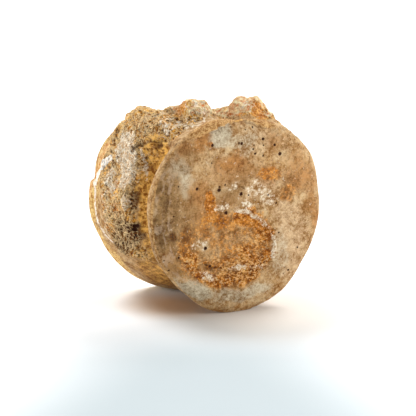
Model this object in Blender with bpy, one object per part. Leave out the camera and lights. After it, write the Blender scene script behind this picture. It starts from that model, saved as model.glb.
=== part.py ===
"""Fossil plesiosaur vertebra, life size: one piece of mineralised bone that stands on the rims of its faces.

The centrum is a short spool. Its front face looks along -Y and its rear face along +Y. The stumps of the
neural arch stand on top, on either side of the canal for the spinal cord. A rib facet swells on each flank.

The surface is a UV sphere whose poles become the middles of the two faces. Angles are in degrees, seen from
in front of the front face: 0 is +X, 90 is up and 180 is -X. A station is a share of the length, from 0 at
the front rim to 1 at the rear rim.
"""

import math

import bmesh
import bpy
import numpy as np

MM = 0.001

# The centrum. A rim is rounded by a quarter of an ellipse: so far across its face, so far along the bone
LENGTH = 61.0 * MM
FRONT_RADIUS, REAR_RADIUS = 45.0 * MM, 44.7 * MM
FRONT_RIM, REAR_RIM = (8.0 * MM, 3.6 * MM), (6.0 * MM, 4.2 * MM)
FRONT_DISH, REAR_DISH = 2.4 * MM, 4.0 * MM
DISH_FLAT = 0.2  # the share of a face's radius over which its dish is flat

# How each rim departs from a circle, as waves: how many go round, height as a share of the radius, and turn
FRONT_WAVES = ((2, 0.009, -39.0), (3, 0.021, 27.0), (4, 0.005, 17.0), (5, 0.004, -9.0), (6, 0.003, 9.0))
REAR_WAVES = ((2, 0.008, -33.0), (3, 0.019, 29.0), (4, 0.009, 19.0), (5, 0.004, -11.0), (6, 0.005, -5.0))
FRONT_CORNER = dict(at=42.0, flat=6.0, half=34.0, rise=1.6 * MM)  # where the front rim stands out
REAR_SADDLE = dict(at=92.0, flat=6.0, half=30.0, depth=2.6 * MM)  # the rear rim worn down under the canal
REAR_DENT = dict(at=222.0, flat=8.0, half=34.0, depth=0.9 * MM)  # and low down on its -X side
REAR_CHIP = dict(start=150.0, end=167.0, step=3.0, depth=1.6 * MM, from_station=0.86)

# The waist: where it begins, is full, is still full and ends, and its share of the depth underneath
WAIST_DEPTH = 7.5 * MM
WAIST_SPAN = (0.0, 0.26, 0.42, 0.88)
BELLY = 268.0
BELLY_SHARE = 0.8

# The canal for the spinal cord
CANAL = dict(at=88.0, flat=4.4, half=11.0, depth=2.0 * MM, span=(0.02, 0.16, 0.84, 0.98))
ARCH_FILL = dict(share=0.9, flat=22.0, half=40.0)  # the bone round the canal, which fills the waist

# The stumps of the neural arch. The crest runs through pairs of station and share of the height
LEFT_STUMP = dict(
    at=104.0,
    flat=3.0,
    inner=5.0,
    outer=9.5,
    height=10.0 * MM,
    crest=((0.05, 0.0), (0.24, 1.0), (0.32, 0.96), (0.46, 0.55), (0.62, 0.20), (0.78, 0.0)),
)
RIGHT_STUMP = dict(
    at=75.5,
    flat=3.5,
    inner=7.5,
    outer=18.0,
    height=9.6 * MM,
    crest=((0.02, 0.0), (0.12, 1.0), (0.25, 0.95), (0.40, 0.65), (0.55, 0.32), (0.72, 0.0)),
)
STUMP_HOLLOW = dict(at=69.0, station=0.10, flat=0.1, half_angle=7.0, half_station=0.10, depth=2.4 * MM)

# The rib facets fill the waist. Above its step each is the shoulder of the arch and reaches the front rim
LEFT_FACET = dict(top=98.0, step=137.0, foot=224.0)
RIGHT_FACET = dict(top=78.0, step=39.0, foot=-48.0)
FACET_RISE = 1.8 * MM
SHOULDER_RISE = 6.2 * MM
SHOULDER_SPAN = (0.05, 0.60, 0.72, 1.02)
FACET_TOP_SLOPE = (-4.0, 14.0)  # where the facet begins and is full, in degrees down from its top
FACET_FOOT_SLOPE = 22.0  # the degrees over which it ends at its foot
STEP_HALF = 8.0  # half the degrees over which the step under the shoulder falls away
SHOULDER_FRONT, FACET_FRONT, FRONT_SLOPE = 0.005, 0.21, 0.15
SHOULDER_REAR, FACET_REAR, REAR_SLOPE = 0.984, 0.764, 0.16
REAR_LEAN = 10.0  # how many degrees above the step the facet's rear edge starts to lean forward
# The shoulder's swell, as degrees down from the facet's top, then down from its step, and share of the rise
SHOULDER_CREST = ((10.0, 0.0), (22.0, 1.0), (28.0, 1.0))
SHOULDER_FALL = ((-8.0, 0.75), (4.0, 0.4), (22.0, 0.12), (60.0, 0.0))
FACET_HOLLOW = dict(station=0.50, flat=0.2, half_angle=34.0, half_station=0.24, depth=1.4 * MM)

# The front face: an oval worn hollow, given by its middle, half sizes and turn, and the lip along the top
FACE_HOLLOW = dict(middle=(-9.0 * MM, -13.0 * MM), half=(26.0 * MM, 18.5 * MM), turn=-12.0, depth=0.8 * MM)
HOLLOW_EDGE = (0.85, 1.15)  # the shares of its half sizes between which the hollow's edge slopes
FACE_LIP = dict(at=96.0, flat=22.0, half=40.0, rise=0.8 * MM, inside=(1.5 * MM, 3.2 * MM))
LIP_FADE = (0.5, 1.0)  # the shares of the rim's bend over which the lip dies out

# Holes for blood vessels, in pairs: on the flanks, under the waist and in the floor of the canal
SIDE_HOLES = dict(middle=90.0, apart=95.5, station=0.29, radius=1.6 * MM, stretch=1.2)
BELLY_HOLES = dict(middle=BELLY, apart=17.0, station=0.42, radius=2.4 * MM, stretch=1.5)
CANAL_HOLES = dict(middle=CANAL["at"], apart=3.0, station=0.50, radius=0.9 * MM, stretch=1.8)

# Wear: seeded waves all over the bone, and shorter ones where it is broken or spongy
SMOOTH_WEAR = dict(seed=11, waves=14, longest=36.0 * MM, shortest=15.0 * MM, height=0.35 * MM)
BROKEN_WEAR = dict(seed=23, waves=18, longest=17.0 * MM, shortest=9.0 * MM, height=0.55 * MM)
SPONGE_WEAR = dict(seed=48, waves=22, longest=9.5 * MM, shortest=6.0 * MM, height=0.45 * MM)
RIM_WEAR = (0.6, 0.4)  # the shares of the smooth wear that go outwards and lengthwise on the rims
FACE_WEAR = 0.6  # the share that goes lengthwise on the faces
FOOT_WEAR = 1.2 * MM  # ground off the lowest point of the rims, so that the bone stands on small flats

# The mesh
SEGMENTS = 96
FACE_RINGS, RIM_RINGS, FLANK_RINGS = 8, 4, 32
CROWDING = 0.30  # how much closer the segments stand over the arch, from 0 to 1
HOLE_SEGMENTS, HOLE_RINGS = 12, 8
FLOOR_SIDE, FLOOR_DEPTH = 180.0 * MM, 20.0 * MM

FOSSIL_COLOUR = (0.50, 0.33, 0.16, 1.0)
FOSSIL_ROUGHNESS = 0.85
SHARP_ANGLE = 70.0


def smooth(value, low, high):
    """0 below low, 1 above high, and an S-curve in between."""
    share = np.clip((value - low) / (high - low), 0.0, 1.0)
    return share * share * (3.0 - 2.0 * share)


def plateau(value, start, full, still, end):
    """Rises from start to full, stays at 1 until still, and is back at 0 at end."""
    return smooth(value, start, full) * (1.0 - smooth(value, still, end))


def turned(angle, middle):
    """The angle from middle to angle, from -180 to 180 degrees."""
    return (angle - middle + 180.0) % 360.0 - 180.0


def hump(angle, middle, flat, half):
    """1 within flat degrees of middle, and 0 from half degrees on."""
    return 1.0 - smooth(abs(turned(angle, middle)), flat, half)


def hollow(angle, station, sizes, middle):
    """1 in the middle of a round hollow and 0 from its edge on."""
    across = turned(angle, middle) / sizes["half_angle"]
    along = (station - sizes["station"]) / sizes["half_station"]
    return 1.0 - smooth(np.hypot(across, along), sizes["flat"], 1.0)


def through(value, points):
    """A curve through the points, flat at each of them."""
    height = np.full_like(value, points[0][1])
    for (start, low), (end, high) in zip(points, points[1:]):
        height = np.where(value > start, low + (high - low) * smooth(value, start, end), height)
    return height


def wear(points, seed, waves, longest, shortest, height):
    """The sum of plane waves in random directions, at each point."""
    rng = np.random.default_rng(seed)
    ways = rng.normal(size=(waves, 3))
    ways /= np.linalg.norm(ways, axis=1)[:, None]
    ways *= (2.0 * math.pi / np.geomspace(longest, shortest, waves))[:, None]
    phases = rng.uniform(0.0, 2.0 * math.pi, waves)
    return height * math.sqrt(2.0 / waves) * np.sin(points @ ways.T + phases).sum(axis=1)


def rim_radius(radius, waves, angle):
    return radius * (1.0 + sum(share * np.cos(np.radians(n * (angle - turn))) for n, share, turn in waves))


def front_edge(angle):
    corner = hump(angle, FRONT_CORNER["at"], FRONT_CORNER["flat"], FRONT_CORNER["half"])
    return rim_radius(FRONT_RADIUS, FRONT_WAVES, angle) + FRONT_CORNER["rise"] * corner


def rear_edge(angle):
    radius = rim_radius(REAR_RADIUS, REAR_WAVES, angle)
    for worn in (REAR_SADDLE, REAR_DENT):
        radius -= worn["depth"] * hump(angle, worn["at"], worn["flat"], worn["half"])
    return radius


def facet_places(facet, angle):
    """How far each angle is down the flank from the facet's top, and where its step and foot are."""
    way = math.copysign(1.0, facet["foot"] - facet["top"])
    down = way * turned(angle, facet["top"])
    return down, way * (facet["step"] - facet["top"]), way * (facet["foot"] - facet["top"])


def facet_cover(facet, angle, station):
    """How far the facet fills the waist, from 0 to 1."""
    down, step, foot = facet_places(facet, angle)
    around = plateau(down, *FACET_TOP_SLOPE, foot - FACET_FOOT_SLOPE, foot)
    below = smooth(down, step - STEP_HALF, step + STEP_HALF)
    front = SHOULDER_FRONT + (FACET_FRONT - SHOULDER_FRONT) * below
    rear = SHOULDER_REAR + (FACET_REAR - SHOULDER_REAR) * smooth(down, step - REAR_LEAN, foot)
    return around * plateau(station, front, front + FRONT_SLOPE, rear - REAR_SLOPE, rear)


def facet_rise(facet, angle, station):
    """How far the facet and the shoulder above it stand proud of the rims."""
    down, step, foot = facet_places(facet, angle)
    crest = (*SHOULDER_CREST, *((step + past, share) for past, share in SHOULDER_FALL))
    rise = FACET_RISE + SHOULDER_RISE * through(down, crest) * plateau(station, *SHOULDER_SPAN)
    rib_seat = hollow(angle, station, FACET_HOLLOW, 0.5 * (facet["step"] + facet["foot"]))
    return facet_cover(facet, angle, station) * rise - FACET_HOLLOW["depth"] * rib_seat


def stump_rise(stump, angle, station):
    """How far a stump of the arch stands above the centrum. It has its own slope towards the canal."""
    outwards = turned(angle, stump["at"]) * math.copysign(1.0, stump["at"] - CANAL["at"])
    slope = np.where(outwards > 0.0, stump["outer"], stump["inner"])
    across = 1.0 - smooth(abs(outwards), stump["flat"], stump["flat"] + slope)
    return stump["height"] * across * through(station, stump["crest"])


def chip_depth(angle, station):
    """What is broken off the rear rim: it deepens downwards to a sharp step."""
    full = REAR_CHIP["end"] - REAR_CHIP["step"]
    around = plateau(angle % 360.0, REAR_CHIP["start"], full, full, REAR_CHIP["end"])
    return REAR_CHIP["depth"] * around * smooth(station, REAR_CHIP["from_station"], 1.0)


def flank_radius(angle, station):
    """The distance from the bone's axis to its surface, from rim to rim, before wear."""
    edge = front_edge(angle) + (rear_edge(angle) - front_edge(angle)) * station
    below = 0.5 + 0.5 * np.cos(np.radians(turned(angle, BELLY)))
    waist = WAIST_DEPTH * (1.0 - (1.0 - BELLY_SHARE) * below) * plateau(station, *WAIST_SPAN)
    arch = ARCH_FILL["share"] * hump(angle, CANAL["at"], ARCH_FILL["flat"], ARCH_FILL["half"])
    covers = [facet_cover(facet, angle, station) for facet in (LEFT_FACET, RIGHT_FACET)]
    radius = edge - waist * (1.0 - np.maximum(arch, np.maximum(*covers)))
    radius += facet_rise(LEFT_FACET, angle, station) + facet_rise(RIGHT_FACET, angle, station)
    canal = hump(angle, CANAL["at"], CANAL["flat"], CANAL["half"])
    radius -= CANAL["depth"] * canal * plateau(station, *CANAL["span"])
    radius += np.maximum(stump_rise(LEFT_STUMP, angle, station), stump_rise(RIGHT_STUMP, angle, station))
    radius -= STUMP_HOLLOW["depth"] * hollow(angle, station, STUMP_HOLLOW, STUMP_HOLLOW["at"])
    return radius - chip_depth(angle, station)


def broken_share(angle, station):
    """Where the bone is broken or spongy, from 0 to 1."""
    covers = [facet_cover(facet, angle, station) for facet in (LEFT_FACET, RIGHT_FACET)]
    stumps = [stump_rise(stump, angle, station) / stump["height"] for stump in (LEFT_STUMP, RIGHT_STUMP)]
    return np.maximum(np.maximum(*covers), np.maximum(*stumps))


def face_section(edge, rim, dish, out):
    """A face inside its rim, a share of the way out: distance from the axis, depth behind the crest."""
    return (edge - rim[0]) * out, dish * (1.0 - smooth(out, DISH_FLAT, 1.0))


def front_relief(angle, distance):
    """How far the front face and its rim stand forward of their plain section: the lip, less the hollow."""
    x, z = distance * np.cos(np.radians(angle)), distance * np.sin(np.radians(angle))
    right, up = x - FACE_HOLLOW["middle"][0], z - FACE_HOLLOW["middle"][1]
    turn = math.radians(FACE_HOLLOW["turn"])
    across = (right * math.cos(turn) + up * math.sin(turn)) / FACE_HOLLOW["half"][0]
    upwards = (up * math.cos(turn) - right * math.sin(turn)) / FACE_HOLLOW["half"][1]
    worn = FACE_HOLLOW["depth"] * (1.0 - smooth(np.hypot(across, upwards), *HOLLOW_EDGE))
    lip = 1.0 - smooth(front_edge(angle) - distance, *FACE_LIP["inside"])
    return FACE_LIP["rise"] * lip * hump(angle, FACE_LIP["at"], FACE_LIP["flat"], FACE_LIP["half"]) - worn


def rim_section(edge, rim, share):
    """A rim: distance from the axis and depth behind its crest. Share 1 is the widest circle."""
    bend = 0.5 * math.pi * share
    return edge - rim[0] * (1.0 - math.sin(bend)), rim[1] * (1.0 - math.cos(bend))


def bone_ring(ring, angle):
    """One ring of bone: distance from the axis, place along it, shares of the wear outwards and along."""
    front_crest, rear_crest = -0.5 * LENGTH - FRONT_RIM[1], 0.5 * LENGTH + REAR_RIM[1]
    from_rear = 2 * (FACE_RINGS + RIM_RINGS) + FLANK_RINGS - ring
    chipped = rear_edge(angle) - chip_depth(angle, 1.0)
    if ring <= FACE_RINGS:
        distance, depth = face_section(front_edge(angle), FRONT_RIM, FRONT_DISH, ring / FACE_RINGS)
        return distance, front_crest + depth - front_relief(angle, distance), 0.0, -FACE_WEAR
    if ring <= FACE_RINGS + RIM_RINGS:
        share = (ring - FACE_RINGS) / RIM_RINGS
        distance, depth = rim_section(front_edge(angle), FRONT_RIM, share)
        forward = front_relief(angle, distance) * (1.0 - smooth(share, *LIP_FADE))
        return distance, front_crest + depth - forward, RIM_WEAR[0], -RIM_WEAR[1]
    if from_rear <= FACE_RINGS:
        distance, depth = face_section(chipped, REAR_RIM, REAR_DISH, from_rear / FACE_RINGS)
        return distance, rear_crest - depth, 0.0, FACE_WEAR
    if from_rear <= FACE_RINGS + RIM_RINGS:
        distance, depth = rim_section(chipped, REAR_RIM, (from_rear - FACE_RINGS) / RIM_RINGS)
        return distance, rear_crest - depth, RIM_WEAR[0], RIM_WEAR[1]
    station = (ring - FACE_RINGS - RIM_RINGS) / FLANK_RINGS
    return flank_radius(angle, np.full_like(angle, station)), LENGTH * (station - 0.5), 1.0, 0.0


def bone_points(ring, turn):
    """Where the points of one ring of the sphere go, from their turns about its poles."""
    angle = turn - math.degrees(CROWDING) * np.sin(np.radians(turned(turn, CANAL["at"])))
    distance, along, outwards, lengthwise = bone_ring(ring, angle)
    out = np.stack([np.cos(np.radians(angle)), np.zeros_like(angle), np.sin(np.radians(angle))], axis=1)
    points = distance[:, None] * out
    points[:, 1] += along
    worn = wear(points, **SMOOTH_WEAR)
    if outwards == 1.0:
        broken = broken_share(angle, np.full_like(angle, along / LENGTH + 0.5))
        worn += broken * (wear(points, **BROKEN_WEAR) + wear(points, **SPONGE_WEAR))
    return points + worn[:, None] * (outwards * out + np.array((0.0, lengthwise, 0.0)))


def read_points(mesh):
    points = np.empty(3 * len(mesh.vertices))
    mesh.vertices.foreach_get("co", points)
    return points.reshape(-1, 3)


def write_points(mesh, points):
    mesh.vertices.foreach_set("co", points.ravel())
    mesh.update()


def new_object(name, bm, collection):
    mesh = bpy.data.meshes.new(name)
    bm.to_mesh(mesh)
    bm.free()
    obj = bpy.data.objects.new(name, mesh)
    collection.objects.link(obj)
    return obj


def make_bone(collection):
    """A UV sphere carried out to the shape of the vertebra, with its axis still at height 0."""
    rings = 2 * (FACE_RINGS + RIM_RINGS) + FLANK_RINGS
    bm = bmesh.new()
    bmesh.ops.create_uvsphere(bm, u_segments=SEGMENTS, v_segments=rings, radius=1.0)
    bone = new_object("vertebra", bm, collection)
    points = read_points(bone.data)
    ring_of = np.rint(rings * np.arccos(np.clip(points[:, 2], -1.0, 1.0)) / math.pi).astype(int)
    turn_of = np.degrees(np.arctan2(points[:, 1], points[:, 0]))
    for ring in range(rings + 1):
        here = ring_of == ring
        points[here] = bone_points(ring, turn_of[here])
    write_points(bone.data, points)
    return bone


def make_hole(name, holes, side, collection):
    """A cutter for one vessel hole: an egg longer along the bone, half sunk in the surface."""
    angle = holes["middle"] + side * holes["apart"]
    radius = float(flank_radius(np.array([angle]), np.array([holes["station"]]))[0])
    bm = bmesh.new()
    bmesh.ops.create_uvsphere(bm, u_segments=HOLE_SEGMENTS, v_segments=HOLE_RINGS, radius=holes["radius"])
    bmesh.ops.scale(bm, vec=(1.0, holes["stretch"], 1.0), verts=bm.verts)
    cutter = new_object(name, bm, collection)
    cutter.location.x = radius * math.cos(math.radians(angle))
    cutter.location.y = LENGTH * (holes["station"] - 0.5)
    cutter.location.z = radius * math.sin(math.radians(angle))
    return cutter


def make_floor(top, collection):
    """A cutter for everything under the floor."""
    bm = bmesh.new()
    bmesh.ops.create_cube(bm, size=1.0)
    bmesh.ops.scale(bm, vec=(FLOOR_SIDE, FLOOR_SIDE, FLOOR_DEPTH), verts=bm.verts)
    cutter = new_object("floor_cutter", bm, collection)
    cutter.location.z = top - 0.5 * FLOOR_DEPTH
    return cutter


def cut(obj, cutters):
    """Takes the cutters out of the object and applies the cuts."""
    for cutter in cutters:
        cutter.hide_render = True
        cutter.display_type = "WIRE"
        modifier = obj.modifiers.new("cut by " + cutter.name, "BOOLEAN")
        modifier.operation = "DIFFERENCE"
        modifier.solver = "EXACT"
        modifier.object = cutter
    bpy.context.view_layer.update()
    graph = bpy.context.evaluated_depsgraph_get()
    applied = bpy.data.meshes.new_from_object(obj.evaluated_get(graph))
    obj.modifiers.clear()
    obj.data = applied


def keep_largest(obj):
    """Drops every closed surface of the mesh but the one with the most points."""
    bm = bmesh.new()
    bm.from_mesh(obj.data)
    left, surfaces = set(bm.verts), []
    while left:
        surface, front = set(), [left.pop()]
        while front:
            vert = front.pop()
            surface.add(vert)
            near = {edge.other_vert(vert) for edge in vert.link_edges} & left
            left -= near
            front.extend(near)
        surfaces.append(surface)
    surfaces.sort(key=len)
    loose = [vert for surface in surfaces[:-1] for vert in surface]
    bmesh.ops.delete(bm, geom=loose, context="VERTS")
    bm.to_mesh(obj.data)
    bm.free()


def stand_on_floor(obj):
    """Moves the mesh so that its feet are at height 0 and its box is centred on the origin."""
    points = read_points(obj.data)
    low, high = points.min(axis=0), points.max(axis=0)
    write_points(obj.data, points - (0.5 * (low[0] + high[0]), 0.5 * (low[1] + high[1]), low[2]))


def fossil_material():
    material = bpy.data.materials.new("fossil bone")
    material.use_nodes = True
    shader = material.node_tree.nodes["Principled BSDF"]
    shader.inputs["Base Color"].default_value = FOSSIL_COLOUR
    shader.inputs["Roughness"].default_value = FOSSIL_ROUGHNESS
    shader.inputs["Metallic"].default_value = 0.0
    return material


def main():
    for obj in list(bpy.data.objects):
        bpy.data.objects.remove(obj)
    bones = bpy.data.collections.new("Plesiosaur vertebra")
    cutters = bpy.data.collections.new("Cutters")
    for collection in (bones, cutters):
        bpy.context.scene.collection.children.link(collection)
    vertebra = make_bone(bones)
    holes = [
        make_hole(f"{name}_hole_{side:+d}", sizes, side, cutters)
        for name, sizes in (("side", SIDE_HOLES), ("belly", BELLY_HOLES), ("canal", CANAL_HOLES))
        for side in (-1, 1)
    ]
    lowest = read_points(vertebra.data)[:, 2].min()
    cut(vertebra, [*holes, make_floor(lowest + FOOT_WEAR, cutters)])
    keep_largest(vertebra)
    stand_on_floor(vertebra)
    vertebra.data.shade_smooth()
    vertebra.data.set_sharp_from_angle(angle=math.radians(SHARP_ANGLE))
    vertebra.data.materials.clear()
    vertebra.data.materials.append(fossil_material())


main()
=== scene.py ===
import math

import bpy
import numpy as np
from mathutils import Euler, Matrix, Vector


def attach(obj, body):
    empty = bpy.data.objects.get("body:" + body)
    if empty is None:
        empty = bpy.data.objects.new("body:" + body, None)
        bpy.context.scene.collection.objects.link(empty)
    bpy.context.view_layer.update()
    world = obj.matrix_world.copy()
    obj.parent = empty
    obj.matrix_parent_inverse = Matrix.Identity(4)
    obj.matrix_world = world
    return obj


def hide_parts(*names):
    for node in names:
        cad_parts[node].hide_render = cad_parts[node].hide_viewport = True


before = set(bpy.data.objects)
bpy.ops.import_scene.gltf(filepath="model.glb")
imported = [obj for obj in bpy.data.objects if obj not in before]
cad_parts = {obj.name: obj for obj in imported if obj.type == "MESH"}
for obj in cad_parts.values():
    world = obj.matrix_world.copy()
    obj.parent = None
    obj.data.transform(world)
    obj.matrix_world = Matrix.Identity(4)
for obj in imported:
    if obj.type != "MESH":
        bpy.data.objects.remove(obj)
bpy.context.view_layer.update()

print("frame loaded")

mm = 0.001

# Sizes are in millimetres and degrees. Angles are seen from in front of the front face: 0 is +X, 90 is up.
# A station is a share of the length, from 0 at the front rim's widest circle to 1 at the rear rim's.
bone = {
    "axis": (-0.2980, -0.1434, 44.9961),  # where the middle of the spool stands
    "length": 61.0,
    "frontRadius": 45.0,
    "rearRadius": 44.7,
    "frontRim": (8.0, 3.6),  # how far the rounding goes across the face and along the bone
    "rearRim": (6.0, 4.2),
    "frontDish": 2.4,
    "rearDish": 4.0,
    "dishFlat": 0.2,
    "frontWaves": ((2, 0.009, -39), (3, 0.021, 27), (4, 0.005, 17), (5, 0.004, -9), (6, 0.003, 9)),
    "rearWaves": ((2, 0.008, -33), (3, 0.019, 29), (4, 0.009, 19), (5, 0.004, -11), (6, 0.005, -5)),
    "frontCorner": (42.0, 6.0, 34.0, 1.6),  # angle, flat, half width, rise
    "rearSaddle": (92.0, 6.0, 30.0, 2.6),  # angle, flat, half width, depth
    "rearDent": (222.0, 8.0, 34.0, 0.9),
    "rearChip": (150.0, 164.0, 167.0, 1.6, 0.86),  # start, deepest, end, depth, station where it begins
    "waistDepth": 7.5,
    "waistSpan": (0.0, 0.26, 0.42, 0.88),
    "belly": 268.0,
    "bellyShare": 0.8,
    "canal": 88.0,
    "canalFlat": 4.4,
    "canalHalf": 11.0,
    "canalDepth": 2.0,
    "canalSpan": (0.02, 0.16, 0.84, 0.98),
    "archFill": (0.9, 22.0, 40.0),
    "faceHollow": (-9.0, -13.0, 26.0, 18.5, -12.0, 0.8),  # middle, half sizes, turn, depth
    "hollowEdge": (0.85, 1.15),
    "smoothWear": (11, 14, 36.0, 15.0, 0.35),  # seed, waves, longest, shortest, height
    "brokenWear": (23, 18, 17.0, 9.0, 0.55),
    "spongeWear": (48, 22, 9.5, 6.0, 0.45),
    "faceWear": 0.6,  # the share of the wear that the two faces take
}
leftStump = {
    "at": 104.0, "flat": 3.0, "inner": 5.0, "outer": 9.5, "height": 10.0,
    "crest": ((0.05, 0.0), (0.24, 1.0), (0.32, 0.96), (0.46, 0.55), (0.62, 0.20), (0.78, 0.0)),
}
rightStump = {
    "at": 75.5, "flat": 3.5, "inner": 7.5, "outer": 18.0, "height": 9.6,
    "crest": ((0.02, 0.0), (0.12, 1.0), (0.25, 0.95), (0.40, 0.65), (0.55, 0.32), (0.72, 0.0)),
}
facets = {
    "left": (98.0, 137.0, 224.0),  # top, step and foot
    "right": (78.0, 39.0, -48.0),
    "rise": 1.8,
    "shoulderRise": 6.2,
    "shoulderSpan": (0.05, 0.60, 0.72, 1.02),
    "topSlope": (-4.0, 14.0),
    "footSlope": 22.0,
    "stepHalf": 8.0,
    "front": (0.005, 0.21, 0.15),  # where it begins above the step and below it, and the length of its rise
    "rear": (0.984, 0.764, 0.16),
    "rearLean": 10.0,
    "crest": ((10.0, 0.0), (22.0, 1.0), (28.0, 1.0)),
    "fall": ((-8.0, 0.75), (4.0, 0.4), (22.0, 0.12), (60.0, 0.0)),
    "hollow": (0.50, 0.2, 34.0, 0.24, 1.4),  # station, flat share, half angle, half station, depth
}
stumpHollow = (0.10, 0.1, 7.0, 0.10, 2.4)
stumpHollowAt = 69.0
mesh = {"side": 120, "frontRimRows": 14, "flankRows": 111, "rearRimRows": 12, "crowding": 0.30}
meanRadius = 45.0  # for measuring round the bone


def smooth(value, low, high):
    # 0 below low, 1 above high, and 3t^2 - 2t^3 in between
    share = np.clip((value - low) / (high - low), 0.0, 1.0)
    return share * share * (3.0 - 2.0 * share)


def plateau(value, start, full, still, end):
    # rises from start to full, stays at 1 until still, and is back at 0 at end
    return smooth(value, start, full) * (1.0 - smooth(value, still, end))


def turned(angle, middle):
    # the angle from middle to angle, from -180 to 180
    return (angle - middle + 180.0) % 360.0 - 180.0


def hump(angle, middle, flat, half):
    # 1 within flat degrees of middle, 0 from half degrees on
    return 1.0 - smooth(abs(turned(angle, middle)), flat, half)

def roundBone(angle):
    # an angle as millimetres round the bone
    return np.radians(angle) * meanRadius


def roundHollow(angle, station, middle, sizes):
    # 1 in the middle of an oval on the flank and 0 from its edge on
    across = turned(angle, middle) / sizes[2]
    along = (station - sizes[0]) / sizes[3]
    return 1.0 - smooth(np.hypot(across, along), sizes[1], 1.0)


def through(value, points):
    # a curve through the points, level at each of them
    height = np.full_like(value, points[0][1])
    for (start, low), (end, high) in zip(points, points[1:]):
        height = np.where(value > start, low + (high - low) * smooth(value, start, end), height)
    return height


def planeWaves(points, seed, waves, longest, shortest, height):
    # the sum of sine waves in random directions, from the longest wave to the shortest
    rng = np.random.default_rng(seed)
    ways = rng.normal(size=(waves, 3))
    ways /= np.linalg.norm(ways, axis=1)[:, None]
    ways *= (2.0 * math.pi / np.geomspace(longest, shortest, waves))[:, None]
    phases = rng.uniform(0.0, 2.0 * math.pi, waves)
    return height * math.sqrt(2.0 / waves) * np.sin(points @ ways.T + phases).sum(axis=1)


def rimRadius(radius, waves, angle):
    # a circle plus cosine waves round it
    return radius * (1.0 + sum(share * np.cos(np.radians(n * (angle - turn))) for n, share, turn in waves))


def frontEdge(angle):
    # the front rim stands out at its upper corner
    at, flat, half, rise = bone["frontCorner"]
    return rimRadius(bone["frontRadius"], bone["frontWaves"], angle) + rise * hump(angle, at, flat, half)


def rearEdge(angle):
    # the rear rim is worn down under the canal and low on the left
    radius = rimRadius(bone["rearRadius"], bone["rearWaves"], angle)
    for name in ("rearSaddle", "rearDent"):
        at, flat, half, depth = bone[name]
        radius = radius - depth * hump(angle, at, flat, half)
    return radius


def facetPlaces(facet, angle):
    # degrees down the flank from the facet's top, and where its step and its foot are
    top, step, foot = facet
    way = math.copysign(1.0, foot - top)
    return way * turned(angle, top), way * (step - top), way * (foot - top)


def facetCover(facet, angle, station):
    # how far the facet fills the waist: one plateau round the flank times one along it
    down, step, foot = facetPlaces(facet, angle)
    around = plateau(down, *facets["topSlope"], foot - facets["footSlope"], foot)
    above, below, slope = facets["front"]
    front = above + (below - above) * smooth(down, step - facets["stepHalf"], step + facets["stepHalf"])
    above, below, rearSlope = facets["rear"]
    rear = above + (below - above) * smooth(down, step - facets["rearLean"], foot)
    return around * plateau(station, front, front + slope, rear - rearSlope, rear)


def facetRise(facet, angle, station):
    # the facet and the arch's shoulder above it, less the hollow where the rib sat
    down, step = facetPlaces(facet, angle)[:2]
    crest = (*facets["crest"], *((step + past, share) for past, share in facets["fall"]))
    shoulder = facets["shoulderRise"] * through(down, crest) * plateau(station, *facets["shoulderSpan"])
    seat = roundHollow(angle, station, 0.5 * (facet[1] + facet[2]), facets["hollow"])
    return facetCover(facet, angle, station) * (facets["rise"] + shoulder) - facets["hollow"][4] * seat


def stumpRise(stump, angle, station):
    # a hump round the bone, with its own slope towards the canal, times a crest along it
    outwards = turned(angle, stump["at"]) * math.copysign(1.0, stump["at"] - bone["canal"])
    slope = np.where(outwards > 0.0, stump["outer"], stump["inner"])
    across = 1.0 - smooth(abs(outwards), stump["flat"], stump["flat"] + slope)
    return stump["height"] * across * through(station, stump["crest"])


def chipDepth(angle, station):
    # what is broken off the rear rim: it deepens to a sharp step
    start, deepest, end, depth, begins = bone["rearChip"]
    return depth * plateau(angle % 360.0, start, deepest, deepest, end) * smooth(station, begins, 1.0)


def chippedEdge(angle):
    # the rear rim's radius less the chip
    return rearEdge(angle) - chipDepth(angle, np.ones_like(angle))


def bothCovers(angle, station):
    return np.maximum(*(facetCover(facets[side], angle, station) for side in ("left", "right")))


def flankRadius(angle, station):
    # the rims' radius, less the waist, plus facets, less the canal, plus stumps
    edge = frontEdge(angle) + (rearEdge(angle) - frontEdge(angle)) * station
    below = 0.5 + 0.5 * np.cos(np.radians(turned(angle, bone["belly"])))
    depth = bone["waistDepth"] * (1.0 - (1.0 - bone["bellyShare"]) * below)
    waist = depth * plateau(station, *bone["waistSpan"])
    share, flat, half = bone["archFill"]
    arch = share * hump(angle, bone["canal"], flat, half)
    radius = edge - waist * (1.0 - np.maximum(arch, bothCovers(angle, station)))
    radius += facetRise(facets["left"], angle, station) + facetRise(facets["right"], angle, station)
    canal = hump(angle, bone["canal"], bone["canalFlat"], bone["canalHalf"])
    radius -= bone["canalDepth"] * canal * plateau(station, *bone["canalSpan"])
    radius += np.maximum(stumpRise(leftStump, angle, station), stumpRise(rightStump, angle, station))
    radius -= stumpHollow[4] * roundHollow(angle, station, stumpHollowAt, stumpHollow)
    return radius - chipDepth(angle, station)


def stumpShare(angle, station):
    # how much of the taller stump's full height stands here, from 0 to 1
    shares = (stumpRise(stump, angle, station) / stump["height"] for stump in (leftStump, rightStump))
    return np.maximum(*shares)


def brokenShare(angle, station):
    # where the bone is broken or spongy, from 0 to 1
    return np.maximum(bothCovers(angle, station), stumpShare(angle, station))


def ovalReach(right, up, halfRight, halfUp, turn=0.0):
    # the distance from the middle of a turned oval: 1 at its edge
    c, s = math.cos(math.radians(turn)), math.sin(math.radians(turn))
    return np.hypot((right * c + up * s) / halfRight, (up * c - right * s) / halfUp)


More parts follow.
